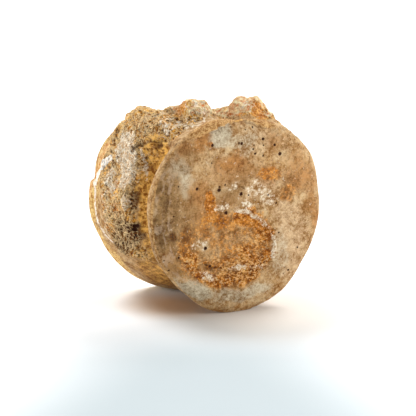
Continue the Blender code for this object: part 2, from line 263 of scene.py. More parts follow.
def faceHollow(x, up):
    # an oval worn into the front face, given by the place across and above the axis: 1 inside, 0 outside
    middleX, middleZ, halfX, halfZ, turn = bone["faceHollow"][:5]
    return 1.0 - smooth(ovalReach(x - middleX, up - middleZ, halfX, halfZ, turn), *bone["hollowEdge"])


# Noise

def cellNumber(cells, seed):
    # a number from 0 to 1 for each whole-number cell
    x, y, z = (cells[..., i].astype(np.int64) for i in range(3))
    stirred = (x * 73856093) ^ (y * 19349663) ^ (z * 83492791) ^ (seed * 2654435761)
    stirred = ((stirred ^ (stirred >> 13)) & 0xFFFFFFFF) * 1274126177
    return ((stirred ^ (stirred >> 16)) & 0xFFFFFF) / 16777215.0


def softNoise(points, size, seed):
    # random numbers at the corners of cubes of this size, blended with S-curves in between
    place = points / size + 137.0
    corner = np.floor(place)
    share = place - corner
    share = share * share * (3.0 - 2.0 * share)
    total = 0.0
    for step in ((0, 0, 0), (1, 0, 0), (0, 1, 0), (1, 1, 0), (0, 0, 1), (1, 0, 1), (0, 1, 1), (1, 1, 1)):
        weight = np.prod(np.where(np.array(step) == 1, share, 1.0 - share), axis=-1)
        total = total + weight * cellNumber(corner + np.array(step), seed)
    return total


def layeredNoise(points, size, layers, seed):
    # soft noises, each half the size and half the strength of the last, from 0 to 1
    total, strength, whole = 0.0, 1.0, 0.0
    for layer in range(layers):
        total = total + strength * softNoise(points, size / 2**layer, seed + 31 * layer)
        whole += strength
        strength *= 0.5
    return total / whole


def cellPits(points, size, seed, near, high):
    # one middle is scattered in each cube of this size. Each point takes the nearest: 1 to 0 as its distance
    # passes through near, in cube sizes, times 0 to 1 as the middle's own random number passes through high
    place = points / size + 211.0
    corner = np.floor(place)
    nearest = np.full(len(points), 9.0)
    owner = np.zeros(len(points))
    for step in np.ndindex(3, 3, 3):
        cell = corner + np.array(step) - 1.0
        seedPoint = cell + np.stack([cellNumber(cell, seed + k) for k in range(3)], axis=-1)
        away = np.linalg.norm(place - seedPoint, axis=-1)
        closer = away < nearest
        nearest = np.where(closer, away, nearest)
        owner = np.where(closer, cellNumber(cell, seed + 7), owner)
    return (1.0 - smooth(nearest, *near)) * smooth(owner, *high)


# The bone's surface: rings from the front rim to the rear rim, closed by a pressed square grid on each face

def rimSection(edge, rim, share):
    # a quarter of an ellipse, from the crest at 0 to the widest circle at 1, and its wear out and ahead
    bend = 0.5 * math.pi * share
    distance = edge - rim[0] * (1.0 - np.sin(bend))
    return distance, rim[1] * (1.0 - np.cos(bend)), math.sin(bend), bone["faceWear"] * math.cos(bend)


def squareInDisc(side):
    # the share of the way out is the larger of |u| and |v|, and the turn runs evenly along the sides
    line = np.linspace(-1.0, 1.0, side + 1)
    u, v = np.meshgrid(line, line, indexing="ij")
    out = np.maximum(abs(u), abs(v))
    wide = abs(u) >= abs(v)
    safeU = np.where(u == 0.0, 1.0, u)
    safeV = np.where(v == 0.0, 1.0, v)
    turn = np.where(
        wide,
        45.0 * v / safeU + np.where(u >= 0.0, 0.0, 180.0),
        np.where(v > 0.0, 90.0, 270.0) - 45.0 * u / safeV,
    )
    return out, turn


def crowded(turn):
    # the segments stand closer over the arch: the turn less a sine of it
    return turn - math.degrees(mesh["crowding"]) * np.sin(np.radians(turned(turn, bone["canal"])))


def boneGrid():
    # each point's distance from the axis, place along it, way of wear outwards and lengthwise, and angle
    side = mesh["side"]
    around = 4 * side
    rows = []
    angle = crowded(-45.0 + 360.0 * np.arange(around) / around)
    frontCrest = -0.5 * bone["length"] - bone["frontRim"][1]
    rearCrest = 0.5 * bone["length"] + bone["rearRim"][1]
    for share in np.linspace(0.0, 1.0, mesh["frontRimRows"] + 1)[:-1]:
        distance, depth, outwards, ahead = rimSection(frontEdge(angle), bone["frontRim"], share)
        rows.append((distance, frontCrest + depth, outwards, -ahead))
    for station in np.linspace(0.0, 1.0, mesh["flankRows"] + 1):
        distance = flankRadius(angle, np.full_like(angle, station))
        rows.append((distance, bone["length"] * (station - 0.5), 1.0, 0.0))
    for share in np.linspace(1.0, 0.0, mesh["rearRimRows"] + 1)[1:]:
        distance, depth, outwards, ahead = rimSection(chippedEdge(angle), bone["rearRim"], share)
        rows.append((distance, rearCrest - depth, outwards, ahead))
    distance = np.array([row[0] for row in rows]).ravel()
    along, outwards, lengthwise = (np.repeat([row[i] for row in rows], around) for i in (1, 2, 3))
    flank = (distance, along, outwards, lengthwise, np.tile(angle, len(rows)))
    share, capTurn = squareInDisc(side)
    inside = share < 1.0 - 1e-9
    capAngle = crowded(capTurn[inside])
    capShare = share[inside]
    dip = 1.0 - smooth(capShare, bone["dishFlat"], 1.0)
    flat = np.zeros_like(capShare)
    distance = (frontEdge(capAngle) - bone["frontRim"][0]) * capShare
    front = (distance, frontCrest + bone["frontDish"] * dip, flat, flat - bone["faceWear"], capAngle)
    distance = (chippedEdge(capAngle) - bone["rearRim"][0]) * capShare
    rear = (distance, rearCrest - bone["rearDish"] * dip, flat, flat + bone["faceWear"], capAngle)
    return (*(np.concatenate(parts) for parts in zip(flank, front, rear)), len(rows), inside)


def quads(*corners):
    # a four-sided face for each place in four grids of corners
    return np.stack(corners, axis=-1).reshape(-1, 4)


def boneFaces(rowCount, inside):
    # four-sided faces between the rings, and on each face a square grid whose border is the end ring
    side = mesh["side"]
    around = 4 * side
    ring = np.arange(rowCount * around).reshape(rowCount, around)
    here, there = ring[:-1], ring[1:]
    faces = [quads(here, there, np.roll(there, -1, axis=1), np.roll(here, -1, axis=1))]
    first = rowCount * around
    for row, flip in ((0, False), (rowCount - 1, True)):
        index = np.zeros(inside.shape, dtype=int)
        index[inside] = first + np.arange(inside.sum())
        first += inside.sum()
        edge = ring[row]
        index[side, :-1] = edge[:side]
        index[1:, side][::-1] = edge[side : 2 * side]
        index[0, 1:][::-1] = edge[2 * side : 3 * side]
        index[:-1, 0] = edge[3 * side :]
        cap = quads(index[:-1, :-1], index[1:, :-1], index[1:, 1:], index[:-1, 1:])
        faces.append(cap[:, ::-1] if flip else cap)
    return np.concatenate(faces)


def pointNormals(points, faces):
    # the faces' normals, weighted by area, added up at their corners
    a, b, c, d = (points[faces[:, i]] for i in range(4))
    normal = np.cross(c - a, d - b)
    sums = [np.bincount(faces.ravel(), np.repeat(normal[:, i], 4), len(points)) for i in range(3)]
    total = np.stack(sums, axis=-1)
    return total / np.linalg.norm(total, axis=1)[:, None]


distance, along, outwards, lengthwise, angle, rowCount, inside = boneGrid()
faces = boneFaces(rowCount, inside)
radial = np.stack([np.cos(np.radians(angle)), np.zeros_like(angle), np.sin(np.radians(angle))], axis=1)
points = distance[:, None] * radial + np.outer(along, (0.0, 1.0, 0.0))
station = along / bone["length"] + 0.5
onFlank = outwards > 0.999
broken = np.where(onFlank, brokenShare(angle, station), 0.0)
worn = planeWaves(points, *bone["smoothWear"])
worn += broken * (planeWaves(points, *bone["brokenWear"]) + planeWaves(points, *bone["spongeWear"]))
points += worn[:, None] * (outwards[:, None] * radial + np.outer(lengthwise, (0.0, 1.0, 0.0)))
normals = pointNormals(points, faces)
print("bone surface", len(points), "points")

# Places of marks and forms. On a face they are x and height over the floor, on the flank angle and station
onCap = outwards == 0.0
faceShare = np.where(onCap & (along < 0.0), 1.0, 1.0 - smooth(along, -32.6, -29.5))
rearShare = np.where(onCap & (along > 0.0), 1.0, smooth(along, 29.5, 33.0))
x = points[:, 0]
height = points[:, 2] + bone["axis"][2]
roundPlace = roundBone(angle % 360.0)
longPlace = station * bone["length"]
drift = np.stack([layeredNoise(points, 9.0, 3, 400 + k) - 0.5 for k in range(3)], axis=1)
drift += 0.45 * np.stack([layeredNoise(points, 3.0, 2, 430 + k) - 0.5 for k in range(3)], axis=1)


def softEdge(reach, soft):
    # 1 inside and 0 outside a soft edge, which reach passes at 1
    return 1.0 - smooth(reach, 1.0 - soft, 1.0 + soft)


def faceSpots(spots, soft, wander, mirrored=False):
    # the strongest of a set of ovals on a face, with a soft edge that wanders with noise
    best = np.zeros(len(points))
    sideways = (-x if mirrored else x) + wander * drift[:, 0]
    upwards = height + wander * drift[:, 2]
    for middleX, middleZ, halfX, halfZ, strength, *turn in spots:
        reach = ovalReach(sideways - middleX, upwards - middleZ, halfX, halfZ, *turn)
        best = np.maximum(best, strength * softEdge(reach, soft))
    return best * (rearShare if mirrored else faceShare)


def flankSpots(spots, soft, wander):
    # the same for ovals on the flank, measured in millimetres round the bone and along it
    best = np.zeros(len(points))
    for middle, at, halfRound, halfAlong, strength, *turn in spots:
        rounding = roundBone(turned(angle, middle)) + wander * drift[:, 0]
        lengthways = (station - at) * bone["length"] + wander * drift[:, 1]
        reach = ovalReach(rounding, lengthways, halfRound, halfAlong, *turn)
        best = np.maximum(best, strength * softEdge(reach, soft))
    return best * (1.0 - smooth(-along, 30.5, 33.0))


def ballSpots(spots, soft=0.4, wander=3.0):
    # the same for balls in space, for the stumps
    best = np.zeros(len(points))
    place = points + np.array((0.0, 0.0, bone["axis"][2])) + wander * drift
    for middle, radius, strength in spots:
        reach = np.linalg.norm(place - np.array(middle), axis=1) / radius
        best = np.maximum(best, strength * softEdge(reach, soft))
    return best


def nearPath(across, upwards, path, width):
    # 1 within width of a line through the path's points, 0 beyond
    nearest = np.full(len(points), 99.0)
    for (x0, z0), (x1, z1) in zip(path, path[1:]):
        way = np.array((x1 - x0, z1 - z0))
        share = ((across - x0) * way[0] + (upwards - z0) * way[1]) / (way @ way)
        share = np.clip(share, 0.0, 1.0)
        nearest = np.minimum(nearest, np.hypot(across - x0 - share * way[0], upwards - z0 - share * way[1]))
    return softEdge(nearest / width, 0.4)


def facePath(path, width, wander):
    return nearPath(x + wander * drift[:, 0], height + wander * drift[:, 2], path, width) * faceShare


def flankPath(path, width, wander):
    # the path's points are angle and station
    scaled = [(roundBone(a), s * bone["length"]) for a, s in path]
    return nearPath(roundPlace + wander * drift[:, 0], longPlace + wander * drift[:, 1], scaled, width)


# Ovals on the faces: x and height of the middle, half width and height, strength and, where it leans, turn
faceMarks = {
    "pale": (
        (-10.3, 83.2, 6, 6.5, 1), (0, 79.5, 12, 5, 0.55), (-30.7, 64.5, 5.5, 10, 0.75, 18),
        (-24.8, 13.4, 10, 4, 1, -32), (0, 8.6, 18, 3.8, 0.7), (4, 72.8, 4, 4, 0.45), (22, 26, 5, 12, 0.5),
    ),
    "cream": ((27, 30, 9, 17, 0.8), (12, 55, 9, 6, 0.5, -20), (8, 79, 10, 8, 0.4), (26, 44, 8, 6, 0.6)),
    "brown": (
        (-19.5, 81.1, 6, 4, 0.95, 40), (-29.8, 76.9, 6, 3.6, 0.8, 45), (-4.4, 68, 9, 3.6, 0.9),
        (-2, 64.5, 14, 6, 0.6), (-22, 55.3, 6, 7, 0.8), (30.8, 61, 10, 8, 0.7), (38, 52, 4, 8, 0.6),
        (18.8, 79, 5, 5, 0.5), (15, 62, 8, 5, 0.6), (-20, 45, 10, 9, 0.7), (-28, 34, 6, 11, 0.6),
        (-6, 51, 12, 4, 0.45), (-37.5, 28, 6, 9, 0.7), (39.5, 42, 3, 8, 0.7),
    ),
    "rust": (
        (-8.5, 29.5, 25.5, 17.5, 0.66, -10), (5, 43.2, 7, 4.6, 1), (12.5, 35, 5, 7, 0.95),
        (9, 24.5, 9, 7.5, 1), (-10.6, 15.8, 8, 3.6, 1), (2, 17, 8, 3.6, 1), (-25.1, 27, 3.6, 7, 1, 20),
        (-20, 19.5, 6, 3.5, 0.95, -30), (-14.3, 50.5, 2.8, 6.5, 0.95, 12), (-14, 43, 6, 4, 0.8),
        (16, 62.5, 6, 3.6, 0.62, 10), (25, 53, 4.5, 4, 0.48), (-1, 74.5, 1.8, 1.6, 0.55),
        (-15.5, 79, 1.8, 1.8, 0.7),
    ),
    "islands": (
        (-13.7, 40.4, 4.5, 2, 0.62), (1.6, 39.3, 4.2, 1.8, 0.68), (-20, 33.5, 6, 2.6, 0.9, 12),
        (0.5, 33.3, 8, 1.8, 0.45), (-9.5, 37.4, 4, 1.2, 0.7, 15), (-18, 22.5, 4, 1.8, 0.5),
        (11, 28, 5, 3.5, 0.45), (-8, 35.5, 10, 4, 0.45), (-13, 29.5, 9, 3.5, 0.5), (-22, 40, 6, 5, 0.5),
    ),
    "crumbs": ((2, 20, 22, 7, 1), (-20, 27, 12, 9, 0.7), (8, 30, 10, 10, 0.7)),
    # painted shade: darker along the face's left side and in two patches above the middle
    "shade": (
        (-38, 50, 7, 22, 0.9), (-28, 46, 8, 14, 0.6), (-35, 26, 6, 10, 0.55, -28),
        (-27, 72, 7, 7, 0.5, 40), (-4, 54.5, 8, 5, 0.55), (2, 61, 9, 4, 0.4),
    ),
    "dirt": (
        (-35.7, 38.3, 2.6, 2.2, 0.75), (-16, 22.6, 2.2, 1.6, 0.8), (-32, 23, 3, 4, 0.45),
        (2, 57, 2, 0.8, 0.7, -20),
    ),
    "chalk": (
        (10.5, 55.5, 6.5, 3.4, 0.37, -15), (16.5, 50.6, 5, 3.4, 0.42, -30), (-3.5, 57.5, 5, 2, 0.4),
        (-8.7, 49.4, 4.5, 1.8, 0.52), (-20.5, 33.6, 5.5, 2.6, 0.42, 10), (11, 19.6, 6, 1.5, 0.42),
        (-1, 21, 6, 1.5, 0.42), (-16.5, 18, 4.5, 2.6, 0.42, -35), (4.5, 49.3, 3.5, 1.8, 0.5, -30),
        (6, 53, 6, 3, 0.3),
    ),
}
rearMarks = {
    "pale": ((-14, 70, 12, 8, 0.8, 20), (18, 22, 14, 6, 0.7, 15), (-30, 40, 6, 12, 0.6)),
    "cream": ((10, 60, 16, 12, 0.7), (-18, 22, 12, 8, 0.5)),
    "brown": ((24, 64, 10, 9, 0.6), (-20, 54, 9, 8, 0.6), (30, 40, 6, 12, 0.6)),
    "rust": ((2, 38, 17, 12, 0.45, 10), (-8, 30, 8, 5, 0.6), (12, 44, 5, 4, 0.5)),
    # painted shade: darker at the rear face's top, bottom and one side
    "shade": ((-6, 82, 16, 5, 0.7), (0, 10, 20, 5, 0.6), (35, 55, 5, 16, 0.6)),
    "dirt": ((16, 30, 4, 2.5, 0.6), (-24, 66, 3, 3, 0.5)),
    "chalk": ((-4, 56, 6, 2.5, 0.5, 10), (8, 24, 6, 2, 0.45)),
}
crackLine = ((-18.5, 25), (-15.5, 22.8), (-9, 21.4), (-3, 22.2), (2, 21.6))
rustRim = ((-1, 48), (6.6, 45.4), (12.8, 40.9), (16.9, 36.5), (18.8, 30.5), (18, 24))
# Ovals on the flank: angle and station of the middle, half sizes round and along it, strength and turn
flankMarks = {
    "chalk": (
        (138.5, 0.64, 3.8, 4, 0.85), (143, 0.58, 5, 6, 1), (148.5, 0.49, 6, 7.5, 1),
        (155, 0.44, 5, 6.5, 0.95), (160.5, 0.4, 3.5, 4, 0.7), (160, 0.67, 3.2, 3, 0.8),
        (165, 0.62, 3, 3, 0.6), (172, 0.36, 3.5, 2.5, 0.55), (169, 0.62, 9, 8, 0.33),
        (180, 0.68, 8, 6, 0.32), (152, 0.34, 6, 5, 0.3), (122, 0.42, 9, 9, 0.26), (196, 0.74, 8, 4, 0.3),
    ),
    "loops": ((123, 0.22, 7, 7.5, 0.9), (114, 0.09, 9, 5, 0.7), (108, 0.2, 5, 5, 0.5)),
    "ochre": (
        (158, 0.22, 14, 5, 1), (182, 0.21, 16, 4, 0.8), (140, 0.2, 8, 8, 1), (205, 0.26, 12, 5, 0.55),
        (236, 0.55, 16, 14, 0.55), (118, 0.62, 9, 12, 0.55), (128, 0.8, 7, 6, 0.6),
        (169, 0.55, 3, 2.5, 0.7),
    ),
    "orange": (
        (153, 0.94, 9, 3.2, 1), (166, 0.99, 8, 2.6, 0.8), (138, 0.88, 10, 5, 0.9), (124, 0.82, 9, 5, 0.6),
    ),
    "rust": (
        (178, 0.51, 5, 2.5, 0.7), (163.6, 0.58, 3, 2.5, 0.7), (174, 0.72, 4, 2.2, 0.8),
        (188, 0.66, 4, 2.5, 0.7), (112, 0.62, 4, 9, 0.7), (151, 0.6, 3, 2, 0.5),
    ),
    "dirt": (
        (190, 0.45, 12, 8, 0.72), (189, 0.33, 6, 4.5, 1), (199, 0.55, 7, 9, 0.8), (184, 0.5, 6, 5, 0.75),
        (171, 0.3, 6, 2.2, 0.85, 12), (161, 0.33, 5, 2, 0.45), (133, 0.45, 6, 8, 0.5),
        (128, 0.34, 4, 5, 0.5), (143.5, 0.42, 3.5, 3, 0.8), (154, 0.65, 2.2, 2, 0.95),
        (150.5, 0.68, 1.4, 1.6, 0.8),
    ),
}
# Balls at the stumps: place over the floor, radius and strength
stumpMarks = {
    "orange": (((-12, -14, 95), 3.5, 0.6), ((20, -12, 92), 5, 0.6)),
    "ochre": (
        ((14, -26.5, 91.2), 5.4, 1), ((19, -24, 91), 3, 0.8), ((-1, -27, 90), 5, 0.7),
        ((-18.5, -14, 95), 5.5, 1), ((7.5, -7, 90.5), 3, 0.7), ((5, -20, 93), 3.5, 0.5),
    ),
    "rust": (
        ((14, -26.6, 91.2), 4.8, 1), ((5.5, -24.5, 90), 2.2, 0.6), ((-19.5, -12.5, 94), 4.2, 0.8),
        ((-14, -6, 93), 4, 0.7), ((10, -10, 95), 4, 0.5), ((1, -30, 92), 3, 0.5),
    ),
    "chalk": (((-13.5, -20, 95), 3.4, 0.4), ((-13, -22.5, 92), 3.5, 0.4), ((9, -24, 93.5), 4, 0.3)),
    "dirt": (((15.5, -27.5, 89.5), 2.2, 0.6), ((-16, -20, 91), 2.4, 0.7), ((-11, -18, 96), 2, 0.6)),
}
# Lines on the flank, by angle and station
# the white line: a painted highlight along the ridge at the facet's rear edge
highlightLine = (
    (150.6, 0.73), (154, 0.8), (157.5, 0.88), (161.5, 0.95), (167.5, 0.93), (172.8, 0.91), (180, 0.9),
    (185.9, 0.88), (191.1, 0.85), (196, 0.82), (203.4, 0.77),
)
shoulderEdge = ((144, 0.42), (138.5, 0.38), (137.7, 0.32), (136.8, 0.25), (134.5, 0.2), (131.7, 0.16))
fineRidge = ((141.6, 0.35), (143.3, 0.33), (145.1, 0.32), (147.2, 0.3), (150.1, 0.29), (152.3, 0.28))
# Holes: angle, station, radius and depth. The right flank has the left one's, mirrored, further back and
# smaller, and two are under the belly and two in the canal's floor
flankHoles = (
    (185.9, 0.288, 1.05, 1.5), (188.2, 0.298, 0.95, 1.4), (192.9, 0.33, 0.7, 1.1),
    (195.9, 0.36, 0.75, 1.1), (197.4, 0.46, 0.7, 1), (201, 0.6, 0.8, 1), (198.6, 0.52, 0.7, 1),
    (184.4, 0.56, 0.8, 1), (190, 0.49, 0.7, 1), (194, 0.6, 0.7, 1), (132.5, 0.01, 0.9, 0.8),
)
farHole = {"back": 0.033, "size": 0.9}
vesselHoles = ((251, 0.42, 2.4, 2.2), (285, 0.42, 2.4, 2.2), (85, 0.5, 0.9, 1.2), (91, 0.5, 0.9, 1.2))
# Pores of the face: x, height and radius
faceHoles = (
    (-15.4, 78, 0.8), (0.1, 77.8, 0.75), (-1.4, 78.1, 0.55), (6.3, 84.9, 0.55), (2.2, 83.9, 0.45),
    (-5.1, 85.8, 0.4), (11.5, 79.2, 0.8), (17.5, 76.2, 0.7), (20.6, 71.9, 0.95), (11.8, 76.3, 0.45),
    (6.9, 76.6, 0.45), (6.5, 74.8, 0.5), (7.6, 72.7, 0.6), (11.8, 71.5, 0.55), (-22.4, 58.9, 0.9),
    (-10.2, 58.6, 0.65), (-10.4, 57.2, 1.05), (-7.3, 59.3, 0.55), (1.4, 54.4, 0.95), (-32.4, 60.9, 0.55),
    (-36.7, 54.4, 0.5), (-34.9, 47.8, 0.5), (-6.1, 46.4, 0.95), (-17.6, 31.5, 0.9), (21, 35, 0.6),
    (29.1, 30.9, 0.45), (31.1, 27.1, 0.55), (24.2, 18.2, 0.6), (26.1, 16.8, 0.65), (23.3, 15.6, 0.5),
    (-32, 28.9, 0.6), (-39.2, 28, 0.45), (-36.7, 23.3, 0.6), (5.5, 53.6, 0.5), (15.8, 52.9, 0.5),
    (19.9, 48.9, 0.6), (-15.2, 22.9, 0.75), (-15.3, 70, 0.5),
)

# Relief: how far each point moves out along the surface's own direction, in millimetres
relief = {
    "undulation": 0.20,
    "lumps": (3.6, 0.34),  # size and height
    "pits": (2.1, 0.60),
    "finePits": (1.25, 0.36),
    "strands": (1.9, 0.36),
    "rustDepth": 0.22,
    "rustGrains": (1.5, 0.30),
    "chalkRim": 0.40,
    "lip": 0.75,
    "lipShade": 0.35,
    "rimLines": 0.05,
    "groove": 0.40,
    "fold": 1.3,
    "ridge": 0.4,
    "highlightLine": 0.3,
    "crack": 0.5,
    "pore": 0.5,
    "chips": 0.8,
}
# Forms of the front rim: the degrees they run over, by middle, flat and half width, and where across the rim
# they start, are full and end, in millimetres inwards from the widest circle
rimForms = {
    "lines": ((190.0, 30.0, 62.0), (-1.5, 0.5, 6.5, 11.0)),
    "groove": ((266.0, 28.0, 44.0), (4.2, 5.0, 5.2, 6.0)),
    # edge: a painted highlight along the rim's edge
    "edge": ((200.0, 60.0, 90.0), (-2.0, -0.8, 0.2, 1.2)),
    "lip": ((96.0, 22.0, 40.0), (0.2, 0.6, 0.9, 2.0)),  # here the millimetres are those of its shade
    "lipInside": (1.6, 0.8, 7.0, 2.6),  # its place inwards, the height and number of its waves, its wander
    "lipSlope": 0.7,
}


def strandNoise(points, size, seed):
    # 1 along the winding lines where a soft noise passes through its middle, 0 away from them
    return 1.0 - smooth(abs(softNoise(points, size, seed) - 0.5), 0.0, 0.17)


def holeShare(across, upwards, holes):
    # 1 in a hole's middle, 0.5 at its edge and 0 at twice its radius
    best = np.zeros(len(points))
    for middleX, middleZ, radius in holes:
        away = np.hypot(across - middleX, upwards - middleZ)
        best = np.maximum(best, np.clip(1.0 - 0.5 * away / radius, 0.0, 1.0))
    return best


onBroken = broken * (1.0 - smooth(abs(outwards - 1.0), 0.0, 0.4))
stumps = stumpShare(angle, station) * (outwards > 0.6)
chalkFlank = flankSpots(flankMarks["chalk"], 0.5, 7.0)
loops = flankSpots(flankMarks["loops"], 0.4, 3.0)
sponge = np.maximum(smooth(onBroken + 1.1 * drift[:, 1], 0.25, 0.75), smooth(stumps, 0.05, 0.3))
islands = faceSpots(faceMarks["islands"], 0.4, 5.0)
rust = faceSpots(faceMarks["rust"], 0.25, 6.0) * (1.0 - 0.75 * islands)
sunkRust = faceSpots(faceMarks["rust"][:8], 0.25, 6.0) * (1.0 - 0.5 * islands)
crack = facePath(crackLine, 0.8, 2.5)
chalkRim = facePath(rustRim, 1.1, 2.5)
bigPit = cellPits(points, relief["pits"][0], 51, (0.18, 0.52), (0.35, 0.60))
finePit = cellPits(points, relief["finePits"][0], 61, (0.20, 0.55), (0.30, 0.60))
grain = cellPits(points, relief["rustGrains"][0], 71, (0.15, 0.6), (0.3, 0.6))
strands = strandNoise(points, relief["strands"][0], 81)
soft = layeredNoise(points, 7.0, 3, 91) - 0.5
lumps = layeredNoise(points, relief["lumps"][0], 2, 95) - 0.5

move = relief["undulation"] * 2.0 * soft
hollow = faceHollow(x + 2.5 * drift[:, 0], points[:, 2] + 2.5 * drift[:, 2])
move -= bone["faceHollow"][5] * hollow * faceShare
move += sponge * relief["lumps"][1] * 2.0 * lumps
move -= sponge * (1.0 - 0.5 * stumps) * (relief["pits"][1] * bigPit + relief["finePits"][1] * finePit)
move += sponge * relief["strands"][1] * (strands - 0.4)
move -= sunkRust * (relief["rustDepth"] + relief["rustGrains"][1] * (grain - 0.5) * 2.0)
move += relief["chalkRim"] * chalkRim
print("relief worked out")

# The lip over the front face, lines round the front rim, the groove under the face and the fold on the
# shoulder
faceEdge = frontEdge(angle) - np.hypot(x, height - bone["axis"][2])


def rimForm(name):
    # 1 where a form of the front rim is full, by the plateau across the rim times the hump round it
    degrees, inwards = rimForms[name]
    return plateau(faceEdge, *inwards) * hump(angle, *degrees)


inwards, waves, count, wander = rimForms["lipInside"]
lipInside = inwards + waves * np.sin(np.radians(angle * count)) + wander * drift[:, 0]
lipSpan = hump(angle, *rimForms["lip"][0])
lipTop = (1.0 - smooth(faceEdge, lipInside, lipInside + rimForms["lipSlope"])) * lipSpan * faceShare
lipShade = plateau(faceEdge, *(lipInside + further for further in rimForms["lip"][1]))
lipShade = lipShade * lipSpan * faceShare
alongRim = np.stack([faceEdge, 0.3 * np.radians(angle) * meanRadius, np.zeros_like(angle)], axis=1)
rimLines = np.clip(5.0 * (layeredNoise(alongRim, 1.5, 3, 147) - 0.5), -1.0, 1.0)
rimLines *= rimForm("lines") * faceShare
grooveLine = rimForm("groove") * faceShare
# painted highlight along the front rim's edge, round its left and lower side
rimHighlight = rimForm("edge") * (1.0 - smooth(along, -32.0, -30.0))
fold = flankPath(shoulderEdge, 1.0, 3.5)
ridge = flankPath(fineRidge, 0.45, 1.0)
# painted highlight along that ridge, widest along its upper part
highlightBand = flankPath(highlightLine[:5], 1.7, 2.0)
white = np.maximum(0.6 * flankPath(highlightLine, 1.0, 2.5), highlightBand)
move += relief["lip"] * lipTop - relief["lipShade"] * lipShade
move += relief["rimLines"] * rimLines
move -= relief["groove"] * grooveLine
move -= relief["fold"] * fold
move += relief["ridge"] * ridge + relief["highlightLine"] * white - relief["crack"] * crack

# Round holes: the vessel holes of the flank and the small pores of the face, dug in and painted dark inside
# as painted shade
holeShade = np.zeros(len(points))
farHoles = tuple(
    ((180.0 - middle) % 360.0, at + farHole["back"], farHole["size"] * radius, depth)
    for middle, at, radius, depth in flankHoles
)
for middle, at, radius, depth in flankHoles + farHoles + vesselHoles:
    spot = ((roundBone(middle), at * bone["length"], radius),)
    share = holeShare(roundPlace + 1.2 * drift[:, 0], longPlace, spot) * onFlank
    holeShade = np.maximum(holeShade, share)
    move -= depth * smooth(share, 0.30, 0.75)
pores = holeShare(x, height, faceHoles) * (faceShare > 0.5)
holeShade = np.maximum(holeShade, pores)
move -= relief["pore"] * smooth(pores, 0.4, 0.8)

# Ragged chips along the front rim's crest
chipNoise = layeredNoise(points, 5.0, 3, 131)
onRim = (1.0 - smooth(abs(faceEdge - 1.0), 1.0, 3.5)) * faceShare
move -= relief["chips"] * smooth(chipNoise, 0.58, 0.72) * onRim
points += normals * move[:, None]
place = points + np.array(bone["axis"])
place[:, 2] = np.maximum(place[:, 2], 0.0)


def bothFaces(name, soft, wander):
    # a kind of mark on the front face and on the rear face
    rear = faceSpots(rearMarks[name], soft, wander, True)
    return np.maximum(faceSpots(faceMarks[name], soft, wander), rear)


# Masks for the material, each from 0 to 1
# painted shade: darker in the pits of the spongy bone, along the fold under the shoulder, under the lip and
# in the rust's grains
recessShade = sponge * (0.8 * bigPit + 0.55 * finePit) * (1.0 - 0.8 * chalkFlank) * (1.0 - 0.6 * stumps)
recessShade = recessShade + 0.65 * fold + 0.6 * lipShade + 0.35 * sunkRust * grain
chalk = [
    bothFaces("chalk", 0.5, 6.0),
    chalkRim * np.clip(0.62 + drift[:, 0] * 1.5, 0.0, 1.0),
    chalkFlank,
    ballSpots(stumpMarks["chalk"]),
    loops * strands,
    white,
    0.8 * ridge,
]
dirt = [bothFaces("dirt", 0.5, 4.0), 0.9 * crack, flankSpots(flankMarks["dirt"], 0.45, 5.0)]
valley = flankSpots(flankMarks["ochre"][:4], 0.45, 6.0)
rearRust = faceSpots(rearMarks["rust"], 0.25, 6.0, True)
stumpRust = ballSpots(stumpMarks["rust"])
ochreStumps = ballSpots(stumpMarks["ochre"], 0.5, 4.0)
rimBand = smooth(station + 0.18 * drift[:, 1], 0.78, 0.94) * (1.0 - rearShare)
masks = {
    "sponge": sponge * (1.0 - 0.8 * stumpRust) * (1.0 - 0.7 * valley),
    "recessShade": np.clip(recessShade, 0.0, 1.0),
    "strand": sponge * strands * (1.0 - 0.8 * stumpRust) * (1.0 - 0.6 * valley),
    "white": white,
    "pale": bothFaces("pale", 0.45, 8.0),
    "cream": bothFaces("cream", 0.5, 8.0),
    "brown": bothFaces("brown", 0.65, 9.0),
    "shade": bothFaces("shade", 0.6, 8.0),
    "orange": np.maximum(flankSpots(flankMarks["orange"], 0.3, 3.0), ballSpots(stumpMarks["orange"])),
    "rust": np.max([rust, rearRust, flankSpots(flankMarks["rust"], 0.4, 3.0), stumpRust], axis=0),
    "chalk": np.max(chalk, axis=0),
    "ochre": np.maximum(flankSpots(flankMarks["ochre"], 0.45, 6.0), ochreStumps),
    "dirt": np.max([*dirt, ballSpots(stumpMarks["dirt"])], axis=0),
    "holeShade": holeShade,
    "stump": smooth(stumps, 0.15, 0.5) * (1.0 - 0.9 * ochreStumps),
    "rimBand": rimBand,
    # the lip's lighter top, and the painted highlight along the front rim's edge
    "lip": np.maximum(lipTop, 0.8 * rimHighlight),
    "streak": rimLines,
    "crumbs": faceSpots(faceMarks["crumbs"], 0.5, 5.0),
}
print("masks worked out")

# The piece itself

def addObject(name, data):
    added = bpy.data.objects.new(name, data)
    bpy.context.scene.collection.objects.link(added)
    return added


data = bpy.data.meshes.new("fossilVertebra")
data.vertices.add(len(place))
data.vertices.foreach_set("co", (place * mm).ravel())
data.loops.add(faces.size)
data.loops.foreach_set("vertex_index", faces.ravel())
data.polygons.add(len(faces))
data.polygons.foreach_set("loop_start", np.arange(0, faces.size, 4))
data.polygons.foreach_set("use_smooth", np.ones(len(faces), dtype=bool))
data.update(calc_edges=True)
data.validate()
for name, share in masks.items():
    data.attributes.new(name, "FLOAT", "POINT").data.foreach_set("value", share.astype(np.float32))
fossil = addObject("fossilVertebra", data)
print("fossilVertebra", 2 * len(faces), "triangles")


# Materials

building = {}  # under "tree" the node tree of the material or world that is being built


